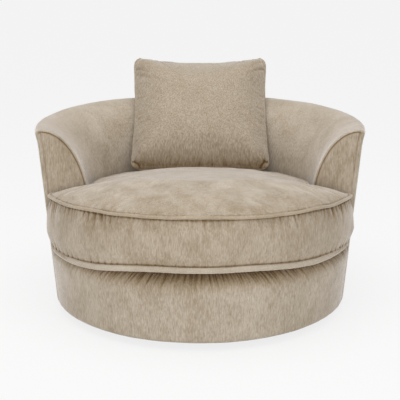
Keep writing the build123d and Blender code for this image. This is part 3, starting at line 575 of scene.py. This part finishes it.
def drum_front():
    """Front of the drum, gathered over its shoulder in pleats that fan out to the sides, with painted shade
    and shadow.
    """
    columns = 1500
    pleat_r, pleat_reach, pleat_most = 0.54, 0.70, 0.0044
    profile, shoulder, top = drum_profile()
    run = np.concatenate([[0], np.cumsum(np.linalg.norm(np.diff(profile, axis=0), axis=1))])
    verts, along, away, ends = [], [], [], []
    for (r, z), s in zip(profile, run):
        first = math.asin((FACING_Y - FRONT_COVER_GAP) / r)
        sweep = math.pi + 2 * first
        for j in range(columns):
            a = math.pi - first + sweep * j / (columns - 1)
            edge = min(j, columns - 1 - j) * sweep * r / (columns - 1)
            rr = r - DRUM_TURN * math.exp(-((edge / 0.003) ** 2))
            verts.append((rr * math.cos(a), rr * math.sin(a), z))
            along.append((a - 1.5 * math.pi) * pleat_r)
            away.append(max(0.0, run[top] - s))
            ends.append(edge)
    obj = mesh_object("drum_front", verts, grid_faces(len(profile), columns))
    along, away, ends = np.array(along), np.array(away), np.array(ends)
    creased = np.zeros(len(along))
    at = -pleat_reach
    while at < pleat_reach:
        at += rng.uniform(0.006, 0.013)
        slant = 0.80 * math.tanh(at / 0.20) + rng.uniform(-0.12, 0.12)
        creased += creases(along, away, [crease(at, DRUM_PLEATS)], slant)
    creased = np.maximum(creased, -pleat_most) * smoothstep(0.004, 0.030, ends)
    reach = run[top] - run[shoulder]
    co, nor = coords(obj), normals(obj)
    move = creased + 0.0042 * bell(away, 1.15 * reach) * smoothstep(0.0, 0.030, ends)
    move += 0.0006 * soft_noise(co * np.array([1, 1, 0.25]), 0.03, 11)
    move += 0.0010 * soft_noise(co * np.array([1, 1, 0.5]), 0.15, 12)
    set_coords(obj, co + nor * move[:, None])
    # Painted shadow under the seat cushion's overhang, painted shade in the pleats and the seam lines at the
    # ends, faded on the deck top; painted light lifts the whole front a little.
    shown = 0.30 + 0.70 * smoothstep(0.0, 0.030, away)
    painted_shadow = 0.62 * bell(away, 0.074, 4) * shown
    painted_shading = 0.45 * bell(ends, 0.0025)
    painted_shade_and_tone(obj, 1.05 * (1 + 190 * creased * shown) * (1 - painted_shadow) * (1 - painted_shading))
    return obj


put(drum_front(), "chair", FABRIC, ["front_cover"])


# Making soft forms


def arc(centre, radius, first, last, count):
    turns = np.linspace(first, last, count, endpoint=False)
    return [(centre[0] + radius * math.cos(a), centre[1] + radius * math.sin(a)) for a in turns]


def stack(name, sections):
    """Closed skin through sections of equal point count, capped at both ends."""
    count = len(sections[0])
    verts = np.vstack(sections)
    faces = grid_faces(len(sections), count, closed=True)
    faces.append(tuple(reversed(range(count))))
    faces.append(tuple(range(len(verts) - count, len(verts))))
    return mesh_object(name, verts, faces)


def remesh(obj, voxel):
    modifier = obj.modifiers.new("remesh", "REMESH")
    modifier.mode = "VOXEL"
    modifier.voxel_size = voxel
    modifier.use_smooth_shade = True
    apply(obj, modifier)


def subdivide(obj):
    modifier = obj.modifiers.new("fine", "SUBSURF")
    modifier.levels = modifier.render_levels = 1
    apply(obj, modifier)


def chosen(obj, name, points):
    group = obj.vertex_groups.new(name=name)
    group.add([int(i) for i in np.nonzero(points)[0]], 1.0, "REPLACE")
    return group


def relax(obj, loose, rounds):
    """Smooths the loose points of a mesh and leaves the others."""
    chosen(obj, "loose", loose)
    modifier = obj.modifiers.new("relax", "SMOOTH")
    modifier.factor = 0.5
    modifier.iterations = rounds
    modifier.vertex_group = "loose"
    apply(obj, modifier)
    obj.vertex_groups.remove(obj.vertex_groups["loose"])


def swell(obj, pinned, cap, pressure=4.0, slack=0.0, stiffness=12.0, frames=20):
    """Inflates a closed mesh with cloth, holding the pinned points, and keeps moves up to the cap."""
    start = coords(obj)
    group = chosen(obj, "held", pinned)
    modifier = obj.modifiers.new("cloth", "CLOTH")
    setting = modifier.settings
    setting.quality = 5
    setting.mass = 0.25
    setting.use_pressure = True
    setting.uniform_pressure_force = pressure
    setting.tension_stiffness = stiffness
    setting.compression_stiffness = stiffness
    setting.shear_stiffness = stiffness * 0.5
    setting.bending_stiffness = 0.6
    setting.shrink_min = -slack
    setting.vertex_group_mass = "held"
    setting.effector_weights.gravity = 0.0
    modifier.point_cache.frame_start, modifier.point_cache.frame_end = 1, frames
    scene = bpy.context.scene
    for number in range(1, frames + 1):
        scene.frame_set(number)
    shaped = obj.evaluated_get(bpy.context.evaluated_depsgraph_get())
    shift = coords(shaped) - start
    obj.modifiers.remove(modifier)
    obj.vertex_groups.remove(group)
    scene.frame_set(1)
    length = np.linalg.norm(shift, axis=1)
    shift *= (np.minimum(length, cap) / np.maximum(length, 1e-9))[:, None]
    set_coords(obj, start + shift)


def wavy(path, lift, radial, seed):
    """A seam that wanders a little."""
    out = path - path.mean(0)
    out[:, 2] = 0
    out /= np.linalg.norm(out, axis=1)[:, None]
    a = 0.6 * soft_noise(path, 0.16, seed) + 0.4 * soft_noise(path, 0.06, seed + 2)
    b = soft_noise(path, 0.05, seed + 1)
    return path + np.outer(a * lift, [0, 0, 1]) + out * (b * radial)[:, None]


def even(path, step):
    """Closed path at even spacing."""
    loop = np.vstack([path, path[:1]])
    run = np.concatenate([[0], np.cumsum(np.linalg.norm(np.diff(loop, axis=0), axis=1))])
    at = np.linspace(0, run[-1], int(run[-1] / step), endpoint=False)
    return np.stack([np.interp(at, run, loop[:, i]) for i in range(3)], 1)


# Seat cushion


def seat_outline(front_inset, back_inset, forward=0.0, size=1.0):
    """Plan of the seat: round front with ears, narrower round back. Same number of points at any inset."""
    front, back = SEAT_FRONT - front_inset, SEAT_BACK - back_inset
    ear_y = FACING_Y - EAR_GAP - back_inset
    tip_y, notch_y = ear_y - EAR_FILLET, ear_y + NOTCH_FILLET
    tip_x = math.sqrt((front - EAR_FILLET) ** 2 - tip_y**2)
    notch_x = math.sqrt((back + NOTCH_FILLET) ** 2 - (notch_y + forward) ** 2)
    tip_turn, notch_turn = math.atan2(tip_y, tip_x), math.atan2(notch_y + forward, notch_x)
    right = arc((0, 0), front, -math.pi / 2, tip_turn, 150)
    right += arc((tip_x, tip_y), EAR_FILLET, tip_turn, math.pi / 2, 14)
    right += [(tip_x + (notch_x - tip_x) * t, ear_y) for t in np.linspace(0, 1, 20, endpoint=False)]
    right += arc((notch_x, notch_y), NOTCH_FILLET, -math.pi / 2, notch_turn - math.pi, 8)
    right += arc((0, -forward), back, notch_turn, math.pi / 2, 140)
    right.append((0.0, back - forward))
    left = [(-x, y) for x, y in reversed(right[1:-1])]
    fixed = np.array([0.0, tip_y])
    return fixed + (np.array(right + left) - fixed) * size


def seat_place(plan, height, extra=0.0):
    """Sets a plan at a height, raked more the higher it lies between the seams."""
    level = LOW_SEAM + VALLEY
    share = min(1.0, max(0.0, (height - level) / (HIGH_SEAM - VALLEY - level)))
    tilt = RAKE * share + extra
    return np.stack([plan[:, 0], plan[:, 1] * math.cos(tilt), height - plan[:, 1] * math.sin(tilt)], 1)


# Shares of the crown's rise, front inset, back inset, move forward and extra rake, and the size of the plan
CROWN_STATIONS = (
    (0.12, 0.01, 0.01, 0.0, 0.0, 1.0),
    (0.29, 0.18, 0.05, 0.40, 0.2, 1.0),
    (0.48, 0.51, 0.14, 0.97, 0.5, 1.0),
    (0.67, 0.82, 0.42, 1.0, 0.75, 1.0),
    (0.83, 1.0, 1.0, 1.0, 1.0, 1.0),
    (0.94, 1.0, 1.0, 1.0, 1.0, 0.66),
    (1.0, 1.0, 1.0, 1.0, 1.0, 0.33),
)


def crown_back():
    """Places and heights of the crown in the middle plane, from its back edge forward."""
    places = []
    for rise, _, back, move, tilt, size in CROWN_STATIONS:
        fixed = FACING_Y - EAR_GAP - back * CROWN_BACK - EAR_FILLET
        edge = fixed + (SEAT_BACK - back * CROWN_BACK - move * CROWN_FORWARD - fixed) * size
        height = HIGH_SEAM + rise * CROWN
        places.append(seat_place(np.array([[0.0, edge]]), height, tilt * (CROWN_RAKE - RAKE))[0])
    return np.array(places)


def seat_seam_z(y):
    return HIGH_SEAM - y * math.tan(RAKE)


def seat_form():
    """The seat as it is sewn, slimmer by what it swells."""
    slim, flat_half = 0.003, 0.026
    middle = (LOW_SEAM + HIGH_SEAM) / 2
    walls = [
        (DECK_Z + 0.0006, LOW_ROLL),
        (DECK_Z + 0.25 * LOW_ROLL, 0.3 * LOW_ROLL),
        (LOW_SEAM - VALLEY, 0.0),
        (LOW_SEAM, VALLEY),
        (LOW_SEAM + VALLEY, slim),
        (middle - flat_half, slim - BULGE),
        (middle + flat_half, slim - BULGE),
        (HIGH_SEAM - VALLEY, slim),
        (HIGH_SEAM, VALLEY),
    ]
    sections = [seat_place(seat_outline(i, i), z) for z, i in walls]
    for rise, front, back, move, tilt, size in CROWN_STATIONS:
        plan = seat_outline(slim + front * CROWN_FRONT, slim + back * CROWN_BACK, move * CROWN_FORWARD, size)
        height = HIGH_SEAM + rise * CROWN - slim * min(1.0, 0.5 + tilt)
        sections.append(seat_place(plan, height, tilt * (CROWN_RAKE - RAKE)))
    return stack("seat_cushion", sections)


def seat_gathers(co, below, side):
    """Creases that run from the upper seam down the boxing and over the crown, and up from the lower seam."""
    along = np.arctan2(co[:, 0], -co[:, 1]) * SEAT_FRONT
    reach = np.hypot(co[:, 0], co[:, 1])
    gather_reach = 0.72
    spots, tops = [], []
    at = -gather_reach
    while at < gather_reach:
        at += rng.uniform(0.008, 0.022)
        spots.append(crease(at, BOXING_GATHERS, 0.30 + 0.70 * smoothstep(0.20, 0.42, abs(at))))
        tops.append(crease(at, CROWN_GATHERS))
    creased = np.zeros(len(co))
    for spot in spots:
        near = side & (np.abs(along - spot[0]) < 0.06)
        creased[near] += creases(along[near], below[near] - 0.002, [spot], rng.uniform(-0.25, 0.25))
    crown = (below < -0.002) & (below > -0.06)
    creased[crown] += creases(along[crown], np.clip(SEAT_FRONT - reach[crown], 0, 1), tops)
    low_spots = [(a + 0.006, w, l * 0.6, d * 0.5) for a, w, l, d in spots[::2]]
    creased[side] += creases(along[side], np.abs(co[side, 2] - LOW_SEAM - 0.004), low_spots)
    return creased


def hang(co):
    """The lower edge arches up in the middle of the front and hangs over the drum's shoulder at the sides."""
    ahead = smoothstep(-0.10, -0.18, co[:, 1])
    across = smoothstep(0.12, 0.47, np.abs(co[:, 0])) * smoothstep(0.532, 0.543, np.hypot(co[:, 0], co[:, 1]))
    depth = 1 - smoothstep(LOW_SEAM, HIGH_SEAM, co[:, 2])
    drop = np.where(co[:, 0] < 0, SIDE_DROP_LEFT, SIDE_DROP_RIGHT)
    out = co.copy()
    out[:, 2] -= drop * across * ahead * depth
    low = bell(out[:, 2] - LOW_SEAM - 0.030, 0.055)
    out[:, 0] += np.sign(co[:, 0]) * EAR_BULGE * smoothstep(0.40, 0.53, np.abs(co[:, 0])) * ahead * low
    return out


def seat_cushion():
    """The seat swollen by its filling, sunk under the scatter cushion and gathered at its seams."""
    obj = seat_form()
    remesh(obj, voxel=0.006)
    co = coords(obj)
    top_seam = np.abs(co[:, 2] - seat_seam_z(co[:, 1])) < 0.006
    held = top_seam | (co[:, 2] < LOW_SEAM + 0.004)
    relax(obj, co[:, 2] > seat_seam_z(co[:, 1]) + 0.010, rounds=120)
    swell(obj, held, cap=0.010)
    subdivide(obj)
    co = coords(obj)
    sunk = bell(co[:, 0], 0.24, 4) * bell(co[:, 1] - SC_Y + 0.05, 0.14)
    co[:, 2] -= SEAT_SAG * sunk * smoothstep(0.0, 0.03, co[:, 2] - seat_seam_z(co[:, 1]))
    set_coords(obj, co)
    nor = normals(obj)
    below = seat_seam_z(co[:, 1]) - co[:, 2]
    side = (below > 0.002) & (co[:, 2] > LOW_SEAM)
    front = smoothstep(0.40, 0.47, np.hypot(co[:, 0], co[:, 1])) * smoothstep(-0.12, -0.17, co[:, 1])
    creased = seat_gathers(co, below, side) * front
    free = smoothstep(0.0, 0.012, np.abs(below)) * smoothstep(LOW_SEAM - 0.002, LOW_SEAM + 0.012, co[:, 2])
    move = creased + free * 0.0030 * soft_noise(co, 0.12, 21)
    move += free * 0.0010 * soft_noise(co, 0.04, 22)
    # Painted shade: the boxing a little darker, the gathers darker, dark lines under the top piping and over
    # the lower seam; the brushed spots on top are tone of the pile.
    shading_and_tone = np.where(side, 0.96, 1.0) + 105 * creased
    brushed = 0.14 * soft_noise(co, 0.05, 23) + 0.11 * soft_noise(co, 0.02, 24)
    shading_and_tone += brushed * smoothstep(0.002, -0.010, below)
    shading_and_tone -= 0.50 * front * bell(below - 0.0085, 0.0035)
    shading_and_tone -= 0.55 * front * bell(co[:, 2] - LOW_SEAM - 0.0035, 0.0035)
    set_coords(obj, hang(co + nor * move[:, None]))
    painted_shade_and_tone(obj, shading_and_tone)
    return obj


def seat_top_cord():
    path = even(seat_place(seat_outline(0.0012, 0.0012), HIGH_SEAM), CORD_STEP)
    cord = tube("seat_top_cord", wavy(path, 0.0050, 0.0012, 31), SEAT_PIPE * 0.88)
    ripple(cord, 0.0006, 0.009, 33)
    return cord


def seat_bottom_cord():
    """The lower piping, flattened to a band that hangs with the seat's lower edge."""
    path = even(seat_place(seat_outline(0.0035, 0.0035), LOW_SEAM - 0.0085), CORD_STEP)
    path[:, :2] *= 1 - 0.012 * smoothstep(0.34, 0.50, np.abs(path[:, :1]))
    cord = tube("seat_bottom_cord", hang(wavy(path, 0.0020, 0.0010, 37)), SEAT_PIPE * 0.95, tall=1.75)
    ripple(cord, 0.0006, 0.012, 39)
    return cord


seat_skins = ["seat_top_panel", "seat_boxing", "seat_bottom_panel", "seat_foam_core"]
put(seat_cushion(), "seat_cushion", FABRIC, seat_skins)
put(seat_top_cord(), "seat_cushion", PIPING, ["seat_top_piping"])
put(seat_bottom_cord(), "seat_cushion", PAINTED_LIGHT_BAND, ["seat_bottom_piping"])


# Scatter cushion

behind = crown_back()[::-1]
SC_Z = float(np.interp(SC_Y, behind[:, 1], behind[:, 2])) + (SCATTER_PIPE + 0.0006) * 1.012 - SEAT_SAG


def scatter_place(plan, height):
    """A plan across and up the cushion, at a height out of its middle plane, set in the chair's frame."""
    s, c = math.sin(SC_LEAN), math.cos(SC_LEAN)
    y = SC_Y + plan[:, 1] * s - height * c
    z = SC_Z + plan[:, 1] * c + height * s
    return np.stack([plan[:, 0], y, z], 1)


def scatter_local(co):
    """Across the cushion, up it and out of its middle plane."""
    s, c = math.sin(SC_LEAN), math.cos(SC_LEAN)
    y, z = co[:, 1] - SC_Y, co[:, 2] - SC_Z
    return np.stack([co[:, 0], y * s + z * c, -y * c + z * s], 1)


def scatter_outline(inset):
    """Square with a sagging top, drawn-in sides and rounded corners."""
    steps, corner = 110, 10
    half = SC_W / 2 - inset
    share = half / (SC_W / 2)
    low, high = inset, SC_L - inset
    turn = SC_CORNER * math.sqrt(share)
    wide, tall = 2 * half - 2 * turn, high - low - 2 * turn
    points = []

    def drawn(t, depth):
        return depth * share * (1 - (2 * t - 1) ** 2)

    def round_corner(centre, first):
        return arc(centre, turn, first, first + math.pi / 2, corner)

    for x in np.linspace(-half + turn, half - turn, steps, endpoint=False):
        points.append((x, low))
    points += round_corner((half - turn, low + turn), -math.pi / 2)
    for y in np.linspace(low + turn, high - turn, steps, endpoint=False):
        points.append((half - drawn((y - low - turn) / tall, SC_DRAW), y))
    points += round_corner((half - turn, high - turn), 0)
    for x in np.linspace(half - turn, -half + turn, steps, endpoint=False):
        points.append((x, high - drawn((half - turn - x) / wide, SC_SAG)))
    points += round_corner((-half + turn, high - turn), math.pi / 2)
    for y in np.linspace(high - turn, low + turn, steps, endpoint=False):
        points.append((-half + drawn((high - turn - y) / tall, SC_DRAW), y))
    points += round_corner((-half + turn, low + turn), math.pi)
    return np.array(points)


def scatter_form():
    """The cushion as it is sewn: insets and heights of its front, and of its rear a little further in."""
    shares = ((0.006, 0.10), (0.018, 0.30), (0.042, 0.55), (0.088, 0.79), (0.150, 0.94), (0.200, 1.0))
    slim = 0.004
    face = [(0.0005, 0.0025)] + [(0.003 + inset, SC_T / 2 * share - slim) for inset, share in shares]
    rear = [(0.0048, 0.003)] + [(0.0065 + inset, SC_T / 2 * share - slim) for inset, share in shares]
    rows = [(inset, -height) for inset, height in reversed(rear)] + face
    return stack("scatter_cushion", [scatter_place(scatter_outline(inset), height) for inset, height in rows])


def scatter_creases():
    """Creases at the corners, all round the edge and along the foot, by their direction from the middle."""
    spots = []
    for quarter in range(4):
        corner = math.pi / 4 + quarter * math.pi / 2
        spots += [crease(corner + rng.uniform(-0.24, 0.24), CORNER_CREASES) for _ in range(9)]
    spots += [crease(rng.uniform(-math.pi, math.pi), EDGE_CREASES) for _ in range(60)]
    spots += [crease(-math.pi / 2 + rng.uniform(-0.75, 0.75), FOOT_CREASES) for _ in range(22)]
    return spots


def scatter_cushion():
    """The scatter cushion swollen by its filling, creased at its edges and folded at its lower corners."""
    half = SC_W / 2
    obj = scatter_form()
    remesh(obj, voxel=0.005)
    out = scatter_local(coords(obj))[:, 2]
    held = (np.abs(out) < 0.006) | (out < -SC_T * 0.40)
    swell(obj, held, cap=0.008, pressure=3.0, slack=0.01)
    subdivide(obj)
    co, nor = coords(obj), normals(obj)
    across, up, out = scatter_local(co).T
    rim = np.minimum(np.minimum(half - np.abs(across), up), SC_L - up)
    free = smoothstep(0.002, 0.010, np.abs(out))
    creased = creases(np.arctan2(up - SC_L / 2, across), np.clip(rim, 0, 1), scatter_creases()) * free
    corner = np.hypot(half - np.abs(across), up + 0.004)
    fold = bell(corner - 0.036 - 0.010 * soft_noise(co, 0.02, 43), 0.0030) * (out > 0.0)
    creased -= 0.0024 * fold
    move = creased + free * 0.0026 * soft_noise(co, 0.13, 41)
    move += free * 0.0010 * soft_noise(co, 0.045, 42)
    set_coords(obj, co + nor * move[:, None])
    # Painted shadow along the foot where it rests on the seat, and painted shade in the creases and corner
    # folds.
    painted_foot_shadow = 0.45 * bell(up, 0.022) * (out > -0.01)
    painted_shade_and_tone(obj, 1 + 60 * creased - painted_foot_shadow - 0.5 * fold)
    return obj


def scatter_cord():
    """Piping behind the knife edge, drawn in at the corners."""
    plan = scatter_outline(0.0042)
    reach = np.hypot(SC_W / 2 - np.abs(plan[:, 0]), np.minimum(plan[:, 1], SC_L - plan[:, 1]))
    middle = np.array([0.0, SC_L / 2])
    plan = middle + (plan - middle) * (1 - 0.014 * bell(reach, 0.03))[:, None]
    path = even(scatter_place(plan, -0.0070), CORD_STEP)
    cord = tube("scatter_cord", wavy(path, 0.0014, 0.0014, 51), SCATTER_PIPE * 0.80)
    ripple(cord, 0.0005, 0.008, 53)
    return cord


scatter_skins = ["scatter_front_panel", "scatter_back_panel", "scatter_filling"]
put(scatter_cushion(), "scatter_cushion", SCATTER_FABRIC, scatter_skins)
put(scatter_cord(), "scatter_cushion", PIPING, ["scatter_piping"])


# Room, light and camera


def seen_share(tree, most):
    """Share of a plain backdrop that camera, glossy and transmitted rays see."""
    path = add(tree, "ShaderNodeLightPath")
    total = path.outputs["Is Camera Ray"]
    for word in ("Is Glossy Ray", "Is Transmission Ray"):
        node = add(tree, "ShaderNodeMath", operation="MAXIMUM")
        tree.links.new(total, node.inputs[0])
        tree.links.new(path.outputs[word], node.inputs[1])
        total = node.outputs[0]
    node = add(tree, "ShaderNodeMath", operation="MULTIPLY")
    tree.links.new(total, node.inputs[0])
    node.inputs[1].default_value = most
    return node.outputs[0]


def mix_shaders(tree, share, first, second, output):
    mix = add(tree, "ShaderNodeMixShader")
    tree.links.new(share, mix.inputs["Fac"])
    tree.links.new(first, mix.inputs[1])
    tree.links.new(second, mix.inputs[2])
    tree.links.new(mix.outputs["Shader"], tree.nodes[output].inputs["Surface"])


def pale_floor():
    h = FLOOR_HALF
    floor = mesh_object("floor", [(-h, -h, 0), (h, -h, 0), (h, h, 0), (-h, h, 0)], [(0, 1, 2, 3)])
    material, tree, shader = node_tree("floor")
    shader.inputs["Base Color"].default_value = (*PALE, 1)
    shader.inputs["Roughness"].default_value = 0.9
    shader.inputs["Specular IOR Level"].default_value = 0.0
    plain = add(tree, "ShaderNodeEmission", Color=(*PALE, 1), Strength=FLOOR_GLOW)
    share = seen_share(tree, FLOOR_SEEN)
    mix_shaders(tree, share, shader.outputs["BSDF"], plain.outputs["Emission"], "Material Output")
    floor.data.materials.append(material)


def pale_world():
    world = bpy.data.worlds.new("studio")
    world.use_nodes = True
    tree = world.node_tree
    lit = tree.nodes["Background"]
    lit.inputs["Color"].default_value = (1.0, 1.0, 1.0, 1)
    lit.inputs["Strength"].default_value = WORLD_LIGHT
    seen = add(tree, "ShaderNodeBackground", Color=(*PALE, 1), Strength=1.0)
    share = seen_share(tree, 1.0)
    mix_shaders(tree, share, lit.outputs["Background"], seen.outputs["Background"], "World Output")
    bpy.context.scene.world = world


def softbox(name, where, target, size, power):
    light = bpy.data.lights.new(name, "AREA")
    light.shape = "DISK"
    light.size = size
    light.energy = power
    obj = bpy.data.objects.new(name, light)
    obj.visible_camera = False
    obj.location = where
    obj.rotation_euler = (Vector(target) - Vector(where)).to_track_quat("-Z", "Y").to_euler()
    bpy.context.scene.collection.objects.link(obj)


pale_floor()
pale_world()
softbox("above", where=(-0.1, -0.5, 3.3), target=(0, 0, 0.4), size=2.4, power=44)
softbox("front", where=(-0.3, -4.3, 0.8), target=(0, 0, 0.2), size=2.6, power=50)

camera = bpy.data.objects.new("camera", bpy.data.cameras.new("camera"))
camera.data.sensor_width = SENSOR
camera.data.lens = LENS
camera.location = CAMERA_PLACE
camera.rotation_euler = (math.pi / 2 - CAMERA_DOWN, 0, 0)
bpy.context.scene.collection.objects.link(camera)
bpy.context.scene.camera = camera
bpy.context.scene.view_settings.view_transform = "Standard"
